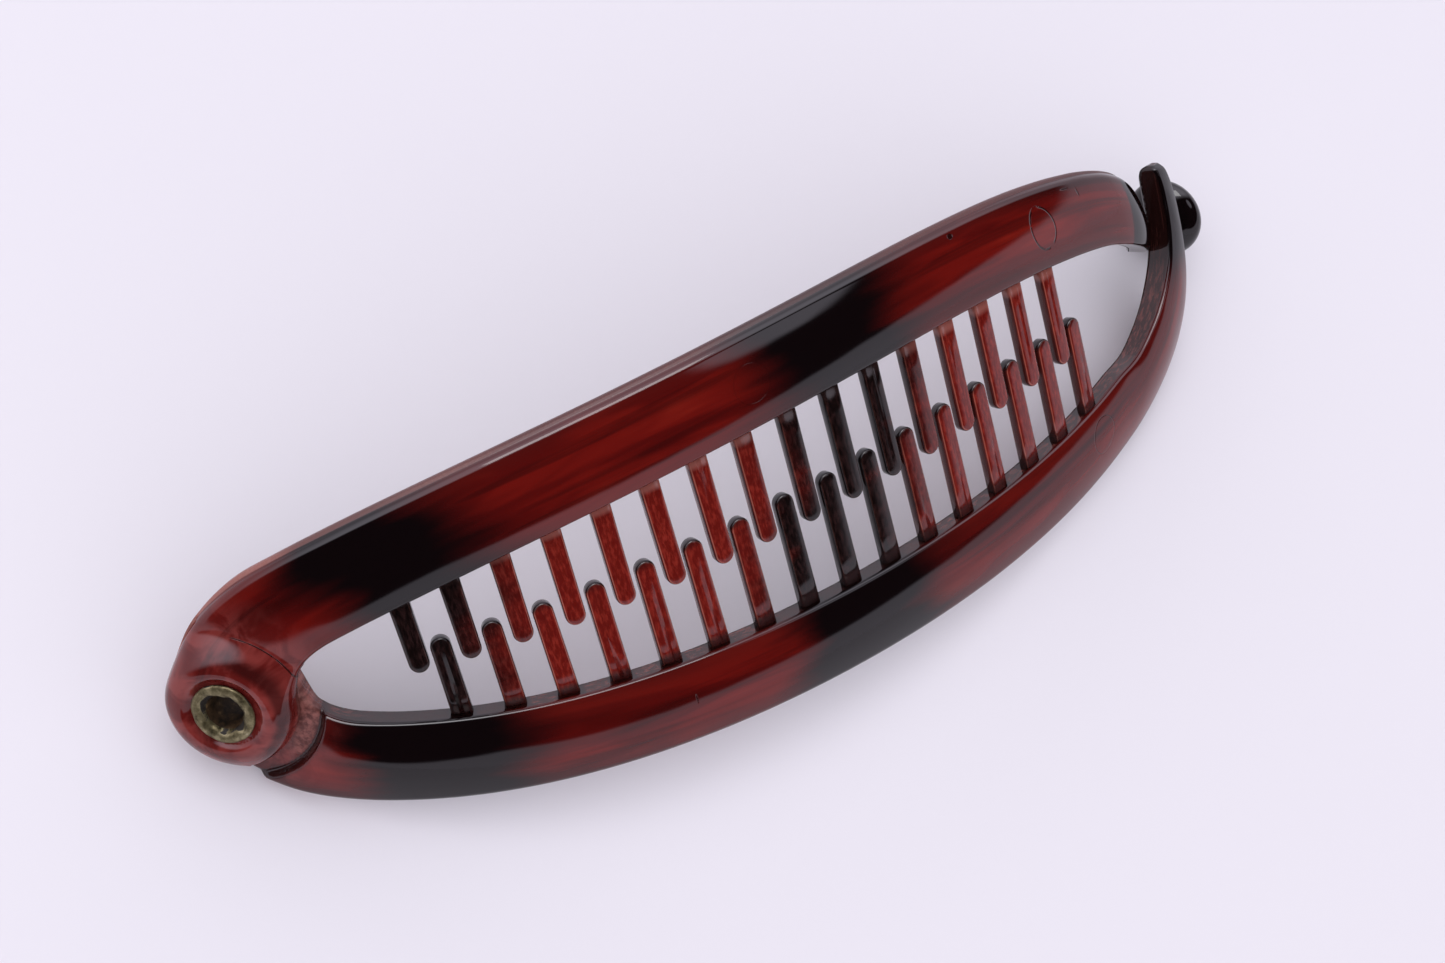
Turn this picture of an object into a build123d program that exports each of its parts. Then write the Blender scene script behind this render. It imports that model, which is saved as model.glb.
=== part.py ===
"""Hinged two-arm comb hair clip (banana clip).

The clip is drawn in its own flat coordinates: s runs along the bent spine from the
hinge to the latch, y runs across towards the upper arm, h stands out of the convex
side.  place() bends those coordinates along the spine.  At the end everything is
turned into the pose in which the closed clip lies on a table.  Lengths are in mm.
"""
import os
from math import cos, sin, sqrt

from build123d import *

# spine: turning angle (rad) as a cubic of s / 100 mm
BEND_1 = 0.87
BEND_2 = -0.71
BEND_3 = 0.43

# arms
ARM_THICK = 2.5
CROWN = 0.75
SIDE_FLARE = 0.45
ARM_START = -59.0
ARM_END = 52.0

# teeth
TOOTH_COUNT = 16
TOOTH_PITCH = 5.0
TOOTH_SHIFT = 1.14
TOOTH_WIDTH = 2.0
TOOTH_THICK = 1.2
TOOTH_ROOT = 1.0

# hinge
HINGE_S = -56.4
EYE_R = 6.3
LAP_R = 8.3
UPPER_EYE_TOP = 0.6
UPPER_EYE_UNDER = -1.3
LOWER_EYE_TOP = -1.5
LOWER_EYE_UNDER = -3.9
COLLAR_R = 5.0
COLLAR_TOP = 1.9
SEAT_R = 3.3
SEAT_H = 1.4
PIN_R = 2.0
PIN_BORE_R = 1.65
PIN_CLEAR = 0.05
FLANGE_R = 3.05
FLANGE_THICK = 0.5

# latch
NECK_S = 57.6
NECK_Y = 1.9
NECK_H = -4.4
NECK_R = 1.2
NECK_CLEAR = 0.3
KNOB_S = 64.2
KNOB_R = 4.3
KNOB_HALF = 2.5
HOOK_S = 58.0
HOOK_THICK = 2.4

# resting pose on the table
REST_TILT = 39.4
REST_PITCH = 2.6
REST_SHIFT = (-2.901, -3.184, 19.163)


def bend_angle(s):
    k = s / 100.0
    return -(BEND_1 * k + BEND_2 * k * k + BEND_3 * k ** 3)


def spine(s):
    steps = 60
    x = 0.0
    z = 0.0
    for i in range(steps):
        mid = bend_angle((i + 0.5) * s / steps)
        x += cos(mid) * s / steps
        z += sin(mid) * s / steps
    return x, z


def place(s, y, h):
    x, z = spine(s)
    a = bend_angle(s)
    return Vector(x - h * sin(a), y, z + h * cos(a))


def cross_plane(s):
    """Plane across the spine: local x is clip y, local y is clip h."""
    a = bend_angle(s)
    return Plane(place(s, 0, 0), x_dir=(0, 1, 0), z_dir=(cos(a), 0, sin(a)))


def plan_plane(s, h=0.0):
    """Plane along the spine: local x is the tangent, local y is clip y."""
    a = bend_angle(s)
    return Plane(place(s, 0, h), x_dir=(cos(a), 0, sin(a)), z_dir=(-sin(a), 0, cos(a)))


def poly(coefficients, s):
    total = 0.0
    for c in reversed(coefficients):
        total = total * (s / 60.0) + c
    return total


def inner_edge(s):
    y = poly((9.69, 1.84, -4.07, 0.19, -5.71, -0.77), s)
    if s < -50.0:
        y -= 0.05 * (s + 50.0) ** 2
    return y


def face_width(s):
    return poly((8.59, -0.12, -0.24, -1.26), s)


def outer_edge(s):
    y = inner_edge(max(s, -52.0)) + face_width(max(s, -52.0))
    if s < -52.0:
        y -= 0.75 * (-52.0 - s) + 0.055 * (-52.0 - s) ** 2
    return y


def profile(s, y0, y1, h0, h1, back, crown, flare):
    """Closed arm cross-section between y0 (inner edge) and y1 (outer edge)."""
    mid = ((y0 + y1) / 2, (h0 + h1) / 2 + crown)
    plane = cross_plane(s)
    a = plane.from_local_coords((y0, h0, 0))
    m = plane.from_local_coords((mid[0], mid[1], 0))
    b = plane.from_local_coords((y1, h1, 0))
    c = plane.from_local_coords((y1 + flare, h1 - 0.35 * (h1 - back), 0))
    d = plane.from_local_coords((y1 + flare - 0.15, back, 0))
    e = plane.from_local_coords((y0 - 0.2, back, 0))
    edges = [ThreePointArc(a, m, b), Line(b, c), Line(c, d), Line(d, e), Line(e, a)]
    return Face(Wire(edges))


def arm_strip():
    faces = []
    count = 15
    for i in range(count):
        s = ARM_START + (ARM_END - ARM_START) * i / (count - 1)
        faces.append(
            profile(s, inner_edge(s), outer_edge(s), 0.0, -0.9, -ARM_THICK, CROWN, SIDE_FLARE)
        )
    return Solid(Solid.make_loft(faces_to_wires(faces)).wrapped)


def faces_to_wires(faces):
    return [f.outer_wire() for f in faces]


def disc(radius, low, high):
    plane = plan_plane(HINGE_S)
    return plane * Pos(0, 0, (low + high) / 2) * Cylinder(radius, high - low)


def tooth_tip(s):
    return poly((1.96, 0.45, -0.58), s)


def tooth(s, side):
    """One bar with a round tip, reaching past the middle plane."""
    level = -0.8 + 0.6 * s / 60.0
    root = inner_edge(s) + TOOTH_ROOT
    tip = -tooth_tip(s)
    half = TOOTH_WIDTH / 2
    plane = plan_plane(s, level - TOOTH_THICK)
    outline = Pos(0, side * (root + tip + half) / 2) * Rectangle(TOOTH_WIDTH, root - tip - half)
    outline += Pos(0, side * (tip + half)) * Circle(half)
    return plane * extrude(outline, TOOTH_THICK)


def teeth(side):
    bars = []
    for i in range(TOOTH_COUNT):
        s = (i - (TOOTH_COUNT - 1) / 2) * TOOTH_PITCH - side * TOOTH_SHIFT
        bars.append(tooth(s, side))
    return bars


def upper_tail():
    """The latch end of the upper arm: it curls in and narrows to a round neck."""
    s0 = ARM_END
    rows = [
        (s0, inner_edge(s0), outer_edge(s0), 0.0, -0.9, -ARM_THICK, CROWN, SIDE_FLARE),
        (54.5, 2.6, 9.6, -0.5, -1.4, -3.3, 0.6, 0.35),
        (56.4, 1.2, 6.2, -2.0, -2.6, -4.9, 0.5, 0.25),
        (NECK_S, 0.85, 2.95, -3.4, -3.5, -5.3, 0.25, 0.1),
    ]
    faces = [profile(*row) for row in rows]
    return Solid(Solid.make_loft(faces_to_wires(faces)).wrapped)


def neck_and_knob():
    plane = cross_plane(NECK_S)
    length = KNOB_S - NECK_S
    neck = plane * Pos(NECK_Y, NECK_H, length / 2) * Cylinder(NECK_R, length)
    dome = Sphere(1.0)
    dome = scale(dome, (KNOB_R, KNOB_R, KNOB_HALF))
    knob = plane * Pos(NECK_Y, NECK_H, length) * dome
    return neck + knob


def hook_plate():
    """The latch end of the lower arm: a leaf that hooks over the neck, with a shallow seat."""
    half = NECK_R + NECK_CLEAR
    under = NECK_H + half
    slope = half * sqrt(0.5)
    front = [(-8.4, -1.1), (-4.0, -0.3), (1.0, 0.0), (6.0, -0.1), (9.0, -0.5), (10.3, -1.2)]
    leaf = [(10.3, -1.2), (9.2, -2.3), (7.6, under)]
    seat_end = (NECK_Y - slope, NECK_H + slope)
    back = [seat_end, (0.2, -3.65), (-1.4, -3.45), (-4.5, -3.1), (-8.4, -2.6)]
    with BuildSketch() as sk:
        with BuildLine():
            Spline(*front)
            Spline(*leaf)
            Line((7.6, under), (NECK_Y, under))
            RadiusArc((NECK_Y, under), seat_end, -half)
            Spline(*back)
            Line((-8.4, -2.6), (-8.4, -1.1))
        make_face()
    return cross_plane(HOOK_S) * extrude(sk.sketch, HOOK_THICK)


def lower_tail():
    s0 = ARM_END
    rows = [
        (s0, inner_edge(s0), outer_edge(s0), 0.0, -0.9, -ARM_THICK, CROWN, SIDE_FLARE),
        (55.0, 2.3, 10.6, 0.0, -0.9, -2.7, 0.7, 0.4),
        (57.2, 0.0, 8.9, 0.0, -0.9, -3.0, 0.5, 0.3),
        (HOOK_S, -0.6, 8.2, 0.0, -0.9, -3.1, 0.4, 0.2),
    ]
    faces = [profile(*row) for row in rows]
    return Solid(Solid.make_loft(faces_to_wires(faces)).wrapped)


def upper_halves(strip):
    """The upper moulding, divided at the hinge's lap circle into its arm and its eye."""
    body = strip + upper_tail() + disc(EYE_R, UPPER_EYE_UNDER, UPPER_EYE_TOP)
    body += disc(COLLAR_R, 0.0, COLLAR_TOP)
    body -= disc(LAP_R, -9.0, UPPER_EYE_UNDER)
    body -= disc(SEAT_R, SEAT_H, 6.0)
    body -= disc(PIN_R + PIN_CLEAR, -9.0, 6.0)
    return body - disc(LAP_R, -9.0, 6.0), body & disc(LAP_R, -9.0, 6.0)


def lower_halves(strip):
    """The lower moulding, divided in the same way."""
    body = mirror(strip + lower_tail(), Plane.XZ)
    body -= disc(LAP_R, LOWER_EYE_TOP, 6.0)
    body += disc(EYE_R, LOWER_EYE_UNDER, LOWER_EYE_TOP)
    body -= disc(PIN_R + PIN_CLEAR, -9.0, 6.0)
    return body - disc(LAP_R, -9.0, 6.0), body & disc(LAP_R, -9.0, 6.0)


def eyelet_shape():
    top = SEAT_H + 0.05
    tube = disc(PIN_R, LOWER_EYE_UNDER - FLANGE_THICK, top + FLANGE_THICK)
    tube += disc(FLANGE_R, top, top + FLANGE_THICK)
    tube += disc(FLANGE_R, LOWER_EYE_UNDER - FLANGE_THICK, LOWER_EYE_UNDER)
    tube -= disc(PIN_BORE_R, -9.0, 6.0)
    return tube


def rest(shape):
    turned = shape.rotate(Axis.X, REST_TILT).rotate(Axis.Y, REST_PITCH)
    return turned.translate(REST_SHIFT)


def main():
    os.makedirs("parts", exist_ok=True)
    strip = arm_strip()
    upper_arm, upper_eye = upper_halves(strip)
    lower_arm, lower_eye = lower_halves(strip)
    nodes = {
        "upper_arm": upper_arm,
        "upper_eye": upper_eye,
        "upper_teeth": Compound(children=teeth(1)),
        "latch_knob": neck_and_knob(),
        "lower_arm": lower_arm,
        "lower_eye": lower_eye,
        "lower_teeth": Compound(children=teeth(-1)),
        "latch_hook": hook_plate(),
        "hinge_eyelet": eyelet_shape(),
    }
    for name, shape in nodes.items():
        export_step(rest(shape), "parts/" + name + ".step")


main()
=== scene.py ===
import math
import random
import bmesh
import bpy
import numpy as np
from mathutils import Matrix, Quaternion, Vector


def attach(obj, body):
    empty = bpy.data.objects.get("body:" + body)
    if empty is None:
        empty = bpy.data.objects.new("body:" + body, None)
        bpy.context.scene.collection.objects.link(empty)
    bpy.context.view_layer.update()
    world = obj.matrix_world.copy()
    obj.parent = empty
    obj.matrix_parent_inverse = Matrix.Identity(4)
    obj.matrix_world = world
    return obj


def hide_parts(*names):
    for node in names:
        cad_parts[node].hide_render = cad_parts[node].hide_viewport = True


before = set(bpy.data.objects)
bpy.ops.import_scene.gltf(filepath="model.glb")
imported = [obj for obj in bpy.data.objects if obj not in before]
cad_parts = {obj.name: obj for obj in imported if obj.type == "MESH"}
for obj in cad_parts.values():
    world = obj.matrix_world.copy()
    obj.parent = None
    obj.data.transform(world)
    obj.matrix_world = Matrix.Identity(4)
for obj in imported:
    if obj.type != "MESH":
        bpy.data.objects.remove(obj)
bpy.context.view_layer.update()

random.seed(7)
MM = 0.001

# ---------------------------------------------------------------- clip space
BEND = (0.87, -0.71, 0.43)
HINGE_S = -56.4
REST_TILT = math.radians(39.4)
REST_PITCH = math.radians(2.6)
REST_SHIFT = np.array((-2.901, -3.184, 19.163))
NECK_S = 57.6
NECK_Y, NECK_H, NECK_R = 1.9, -4.4, 1.2
KNOB_S, KNOB_R, KNOB_HALF = 64.2, 4.25, 2.45
EYE_R = 6.25
LAP_R = 8.3
LAP_FLOOR = -1.5
LAP_UNDERSIDE = -1.3
HINGE_UNDERSIDE = -3.9
HOLE_R = 2.05
FACE_W = 8.6
# curves along the clip, as coefficients of rising powers of s / 60
INNER_EDGE = (9.69, 1.84, -4.07, 0.19, -5.71, -0.77)
FACE_WIDTH = (8.59, -0.12, -0.24, -1.26)
TIP_LINE = (1.96, 0.45, -0.58)
TOOTH_PITCH = 5.0
TOOTH_STAGGER = 1.14
TEETH = 16


def bend_angle(s):
    k = np.asarray(s, float) / 100.0
    return -(BEND[0] * k + BEND[1] * k * k + BEND[2] * k ** 3)


GRID_S = np.linspace(-75, 75, 3001)
_a = bend_angle((GRID_S[1:] + GRID_S[:-1]) / 2)
_d = GRID_S[1] - GRID_S[0]
GRID_X = np.concatenate(([0.0], np.cumsum(np.cos(_a)) * _d))
GRID_Z = np.concatenate(([0.0], np.cumsum(np.sin(_a)) * _d))
GRID_X -= GRID_X[1500]
GRID_Z -= GRID_Z[1500]

_ct, _st = math.cos(REST_TILT), math.sin(REST_TILT)
_cp, _sp = math.cos(REST_PITCH), math.sin(REST_PITCH)
REST = np.array(((_cp, 0, _sp), (0, 1, 0), (-_sp, 0, _cp))) @ np.array(
    ((1, 0, 0), (0, _ct, -_st), (0, _st, _ct))
)


def place(s, y, h):
    """Clip coordinates (mm) to the row frame (m). Past the neck the spine runs on straight."""
    s, y, h = np.broadcast_arrays(np.asarray(s, float), np.asarray(y, float), np.asarray(h, float))
    base = np.minimum(s, NECK_S)
    a = bend_angle(base)
    over = s - base
    x = np.interp(base, GRID_S, GRID_X) - h * np.sin(a) + over * np.cos(a)
    z = np.interp(base, GRID_S, GRID_Z) + h * np.cos(a) + over * np.sin(a)
    p = np.stack((x, y, z), -1)
    return (p @ REST.T + REST_SHIFT) * MM


def hinge_place(u, v, w):
    """Flat hinge coordinates (mm): u along the tangent, v across, w along the rivet."""
    a = float(bend_angle(HINGE_S))
    x0 = float(np.interp(HINGE_S, GRID_S, GRID_X))
    z0 = float(np.interp(HINGE_S, GRID_S, GRID_Z))
    u, v, w = np.broadcast_arrays(np.asarray(u, float), np.asarray(v, float), np.asarray(w, float))
    x = x0 + u * math.cos(a) - w * math.sin(a)
    z = z0 + u * math.sin(a) + w * math.cos(a)
    return (np.stack((x, v, z), -1) @ REST.T + REST_SHIFT) * MM


def poly(c, s):
    t = np.asarray(s, float) / 60.0
    out = np.zeros_like(t)
    for k in reversed(c):
        out = out * t + k
    return out


def inner_edge(s):
    return poly(INNER_EDGE, s)


def outer_edge(s):
    return inner_edge(s) + poly(FACE_WIDTH, s)


def smooth(a, b, x):
    t = np.clip((np.asarray(x, float) - a) / (b - a), 0, 1)
    return t * t * (3 - 2 * t)


def spline_rows(rows, per):
    """Catmull-Rom through rows of numbers, centripetal in the first four columns."""
    r = np.array(rows, float)
    d = np.sqrt(np.linalg.norm(np.diff(r[:, :4], axis=0), axis=1)) + 1e-4
    t = np.concatenate(([0.0], np.cumsum(d)))
    m = np.zeros_like(r)
    for i in range(len(r)):
        if i == 0:
            m[i] = (r[1] - r[0]) / d[0]
        elif i == len(r) - 1:
            m[i] = (r[-1] - r[-2]) / d[-1]
        else:
            a = (r[i] - r[i - 1]) / d[i - 1]
            b = (r[i + 1] - r[i]) / d[i]
            m[i] = (a * d[i] + b * d[i - 1]) / (d[i] + d[i - 1])
    out = []
    for i in range(len(r) - 1):
        n = max(2, int(round(per * np.linalg.norm(r[i + 1, :4] - r[i, :4]))))
        for k in range(n):
            u = k / n
            h = d[i]
            out.append(
                (2 * u ** 3 - 3 * u * u + 1) * r[i]
                + (u ** 3 - 2 * u * u + u) * h * m[i]
                + (-2 * u ** 3 + 3 * u * u) * r[i + 1]
                + (u ** 3 - u * u) * h * m[i + 1]
            )
    out.append(r[-1])
    return np.array(out)


def fillet(d, r):
    r = np.maximum(r, 1e-4)
    q = np.clip(1 - d / r, 0, 1)
    return r * (1 - np.sqrt(np.clip(1 - q * q, 0, 1)))


# ---------------------------------------------------------------- mesh helpers
def make_object(name, verts, faces, clip, zone):
    """Mesh with clip coordinates in a UV layer, and where each point lies: across the face, wall, ledge."""
    me = bpy.data.meshes.new(name)
    me.from_pydata([tuple(v) for v in verts], [], faces)
    idx = np.zeros(len(me.loops), dtype=np.int32)
    me.loops.foreach_get("vertex_index", idx)
    layer = me.uv_layers.new(name="clip")
    uv = np.asarray(clip, float)[idx][:, :2] / 100.0 + 1.0
    layer.data.foreach_set("uv", uv.astype(np.float32).ravel())
    rgba = np.concatenate((np.asarray(zone, float), np.asarray(clip, float)[:, 2:3] / 10.0 + 1.0), 1)
    layer = me.attributes.new("zone", "FLOAT_COLOR", "POINT")
    layer.data.foreach_set("color", rgba.astype(np.float32).ravel())
    me.polygons.foreach_set("use_smooth", [True] * len(me.polygons))
    me.update()
    ob = bpy.data.objects.new(name, me)
    bpy.context.scene.collection.objects.link(ob)
    bm = bmesh.new()
    bm.from_mesh(me)
    bmesh.ops.remove_doubles(bm, verts=bm.verts, dist=1e-7)
    bmesh.ops.recalc_face_normals(bm, faces=bm.faces)
    bm.to_mesh(me)
    bm.free()
    return ob


def grid_faces(rows, cols, offset=0):
    """Quads between rings of points, each ring closed on itself."""
    faces = []
    for i in range(rows - 1):
        here = offset + i * cols
        there = here + cols
        for j in range(cols):
            k = (j + 1) % cols
            faces.append((here + j, here + k, there + k, there + j))
    return faces


def arm_rows(lower):
    """Plan stations of an arm, hinge to latch: s, |y| inner, s, |y| outer, then heights.

    Columns: s_in, y_in, s_out, y_out, h_in, h_out, back, crown, fillet_in, fillet_out, flare
    """
    rows = []
    c = HINGE_S
    around_eye = ((-90, -90), (-78, -104), (-64, -122), (-48, -142), (-33, -162), (-18, -181), (-5, -198))
    for a_in, a_out in around_eye:
        ai, ao = math.radians(a_in), math.radians(a_out)
        near = (c + EYE_R * math.cos(ai), EYE_R * math.sin(ai))
        far = (c + EYE_R * math.cos(ao), EYE_R * math.sin(ao))
        rows.append((*near, *far, 0.0, 0.0, -2.5, 0.25, 1.1, 1.1, 0.0))
    rows += [
        (-49.75, 0.85, -60.6, 4.6, 0.0, -0.2, -2.5, 0.35, 0.9, 1.0, 0.1),
        (-49.1, 1.95, -58.6, 7.2, 0.0, -0.4, -2.5, 0.45, 0.7, 0.9, 0.2),
        (-47.9, 3.0, -55.8, 9.35, 0.0, -0.6, -2.5, 0.55, 0.55, 0.8, 0.3),
        (-46.0, 3.95, -52.2, 11.2, 0.0, -0.8, -2.5, 0.65, 0.45, 0.7, 0.4),
    ]
    along = ((-43, -48), (-40, -43.6), (-36, -38.5), (-31, -32.6), (-26, -26.8), (-20, -20.3),
             (-13, -13), (-6, -6), (1, 1), (8, 8), (15, 15), (22, 22), (29, 29),
             (35, 34.7), (40, 39.4), (44, 43))
    for s_in, s_out in along:
        rows.append((s_in, float(inner_edge(s_in)), s_out, float(outer_edge(s_out)),
                     0.0, -0.9, -2.5, 0.75, 0.35, 0.55, 0.3))
    if lower:
        rows += [
            (47.6, 6.55, 46.8, 14.2, 0.0, -0.9, -2.55, 0.75, 0.35, 0.55, 0.3),
            (50.6, 5.2, 50.6, 12.75, 0.0, -0.9, -2.65, 0.72, 0.35, 0.55, 0.3),
            (53.2, 3.6, 54.0, 10.95, 0.0, -0.85, -2.8, 0.65, 0.34, 0.55, 0.3),
            (55.4, 1.6, 56.9, 8.7, 0.0, -0.75, -2.9, 0.5, 0.33, 0.5, 0.3),
            (56.9, -0.5, 58.85, 6.0, 0.0, -0.55, -2.9, 0.38, 0.32, 0.45, 0.2),
            (57.7, -2.7, 59.9, 3.1, -0.02, -0.35, -2.9, 0.26, 0.3, 0.42, 0.1),
            (58.0, -4.8, 60.3, 0.2, -0.03, -0.2, -2.9, 0.2, 0.3, 0.42, 0.0),
            (58.02, -6.8, 60.38, -2.8, -0.05, -0.12, -2.9, 0.17, 0.3, 0.42, 0.0),
            (58.02, -8.4, 60.36, -5.8, -0.15, -0.18, -2.88, 0.14, 0.3, 0.42, 0.0),
            (58.04, -9.4, 60.3, -8.1, -0.4, -0.4, -2.8, 0.12, 0.3, 0.4, 0.0),
            (58.1, -10.0, 60.15, -9.4, -0.7, -0.7, -2.45, 0.1, 0.3, 0.35, 0.0),
            (58.45, -10.22, 59.8, -10.05, -1.15, -1.15, -1.95, 0.05, 0.2, 0.2, 0.0),
        ]
    else:
        rows += [
            (47.0, 6.3, 46.4, 14.3, 0.0, -0.9, -2.5, 0.75, 0.35, 0.55, 0.3),
            (50.2, 5.0, 50.0, 12.9, -0.1, -0.95, -2.6, 0.75, 0.35, 0.6, 0.28),
            (52.8, 3.6, 53.0, 11.1, -0.45, -1.25, -3.0, 0.75, 0.4, 0.7, 0.3),
            (54.8, 2.4, 55.1, 8.9, -1.1, -1.8, -3.8, 0.7, 0.5, 0.8, 0.15),
            (56.3, 1.45, 56.5, 6.3, -2.0, -2.5, -4.8, 0.5, 0.7, 0.8, 0.05),
            (57.3, 0.9, 57.35, 4.0, -2.85, -3.1, -5.4, 0.3, 0.8, 0.8, 0.0),
            (58.0, 0.7, 58.0, 3.1, -3.25, -3.25, -5.55, 0.15, 0.9, 0.9, 0.0),
        ]
    return rows


N_TOP, N_OUT, N_BACK, N_IN = 44, 14, 22, 12


def hinge_height(s):
    """Extra height that makes a flat face of the hinge in bent coordinates."""
    u = s - HINGE_S
    return 0.5 * 0.0208 * u * u


def arm_surface(lower):
    """Vertices of an arm as closed rings, in clip coordinates with y positive on the arm's side."""
    rows = spline_rows(arm_rows(lower), 4.2)
    rings, zones = [], []
    for r in rows:
        s0, y0, s1, y1, h0, h1, back, crown, f0, f1, flare = r
        w = max(math.hypot(s1 - s0, y1 - y0), 1e-3)
        f0, f1 = min(f0, 0.48 * w), min(f1, 0.48 * w)
        k = np.arange(N_TOP) / (N_TOP - 1)
        a = 0.5 - 0.5 * np.cos(math.pi * k)
        a = 0.35 * k + 0.65 * a
        s = s0 + (s1 - s0) * a
        y = y0 + (y1 - y0) * a
        lift = crown * (1 - (2 * a - 1) ** 2)
        h = h0 + (h1 - h0) * a + lift
        rad = np.hypot(s - HINGE_S, y)
        if lower:
            floor = LAP_FLOOR + hinge_height(s)
            ramp = smooth(LAP_R - 0.1, LAP_R + 0.5, rad) * 0.75 + smooth(LAP_R, LAP_R + 3.4, rad) * 0.25
            h = np.where(rad < 14, floor + (h - floor) * ramp, h)
        else:
            dome = np.where(rad > 4.0, 1.88 - 0.25 * (rad - 4.0) ** 2, 1.88 - 0.95 * (4.0 - rad) ** 2)
            dome = np.where(rad < 3.2, 1.35, dome) + hinge_height(s)
            dome = np.where(rad < 9.0, dome, -9.0)
            q = np.clip(h - dome, -1, 1)
            h = np.where(q >= 1, h, np.where(q <= -1, dome, (h + dome) / 2 + 0.25 * (1 + q * q)))
        h = h - fillet(a * w, f0) - fillet((1 - a) * w, f1)
        # direction across the arm, for the flare of the outer wall
        cs, cy = (s1 - s0) / w, (y1 - y0) / w

        def bottom(ss, yy):
            r2 = np.hypot(ss - HINGE_S, yy)
            b = np.full_like(r2, back)
            if lower:
                eye = HINGE_UNDERSIDE + hinge_height(ss)
                return b + (eye - b) * (1 - smooth(EYE_R - 0.2, EYE_R + 1.6, r2))
            lap = LAP_UNDERSIDE + hinge_height(ss)
            return b + (lap - b) * (1 - smooth(LAP_R, LAP_R + 0.35, r2))

        k = (np.arange(N_OUT) + 1) / (N_OUT + 1)
        top_o, top_i = h[-1], h[0]
        bo = float(bottom(np.array([s1]), np.array([y1]))[0])
        bi = float(bottom(np.array([s0]), np.array([y0]))[0])
        out = flare * np.sin(np.minimum(k / 0.42, 1) * math.pi / 2) - 0.12 * np.maximum(k - 0.42, 0)
        out = out - 0.07 * np.exp(-((k - 0.42) / 0.05) ** 2) * min(1.0, flare / 0.25)
        ho = top_o + (bo - top_o) * k
        so, yo = s1 + cs * out, y1 + cy * out
        k2 = 1 - np.arange(N_BACK) / (N_BACK - 1)
        edge = flare - 0.12 * 0.58
        sb = s0 + (s1 + cs * edge - s0) * k2
        yb = y0 + (y1 + cy * edge - y0) * k2
        hb = bottom(sb, yb)
        w2 = w + edge
        rr = min(0.3, 0.3 * w2)
        hb = hb + fillet(k2 * w2, rr) + fillet((1 - k2) * w2, rr)
        k3 = (np.arange(N_IN) + 1) / (N_IN + 1)
        hi = bi + (top_i - bi) * k3
        si, yi = np.full(N_IN, s0), np.full(N_IN, y0)
        ring_s = np.concatenate((s, so, sb, si))
        ring_y = np.concatenate((y, yo, yb, yi))
        ring_h = np.concatenate((h, ho, hb, hi))
        rings.append(np.stack((ring_s, ring_y, ring_h), -1))
        across = np.concatenate((a, np.ones(N_OUT), k2, np.zeros(N_IN)))
        blank = np.zeros(N_BACK - 1 + N_IN)
        wall = np.concatenate((np.zeros(N_TOP - 1), (0.1,), 0.2 + 0.8 * k, (0.6,), blank))
        ledge = np.concatenate((np.zeros(N_TOP + N_OUT + N_BACK), np.ones(N_IN)))
        zones.append(np.stack((across, wall, ledge), -1))
    return np.array(rings), np.array(zones)


def knob_rings(first):
    """From the arm's last ring on: morph to the round neck, then the knob."""
    n = first.shape[0]
    centre = first[:, 1:].mean(0)
    ang = np.arctan2(first[:, 2] - centre[1], first[:, 1] - centre[0])
    round_y, round_h = np.cos(ang), np.sin(ang)
    rings = []
    for k in range(1, 9):
        t = smooth(0, 1, k / 8)
        s = 58.0 + 1.6 * k / 8
        y = (1 - t) * first[:, 1] + t * (NECK_Y + NECK_R * round_y)
        h = (1 - t) * first[:, 2] + t * (NECK_H + NECK_R * round_h)
        rings.append(np.stack((np.full(n, s), y, h), -1))
    for s in np.linspace(59.9, 61.5, 6):
        rings.append(np.stack((np.full(n, s), NECK_Y + NECK_R * round_y, NECK_H + NECK_R * round_h), -1))
    start = math.asin(min(1, NECK_R / KNOB_R))
    for k in range(34):
        t = start + (math.pi - start - 0.02) * k / 33
        s = KNOB_S - KNOB_HALF * math.cos(t)
        r = KNOB_R * math.sin(t)
        r = r + 0.25 * math.exp(-k / 1.5)
        rings.append(np.stack((np.full(n, s), NECK_Y + r * round_y, NECK_H + r * round_h), -1))
    return rings


def build_arm(name, lower):
    rings, zones = arm_surface(lower)
    rings, zones = list(rings), list(zones)
    if not lower:
        more = knob_rings(rings[-1])
        rings += more
        zones += [zones[-1] * (1, 0, 0)] * len(more)
    clip = np.array(rings)
    rows, cols = clip.shape[:2]
    side = -1.0 if lower else 1.0
    flat = clip.reshape(-1, 3).copy()
    flat[:, 1] *= side
    verts = place(flat[:, 0], flat[:, 1], flat[:, 2])
    faces = grid_faces(rows, cols)
    faces.append(tuple(range(cols)))
    faces.append(tuple(range((rows - 1) * cols, rows * cols)))
    return make_object(name, verts, faces, flat, np.array(zones).reshape(-1, 3))


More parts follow.
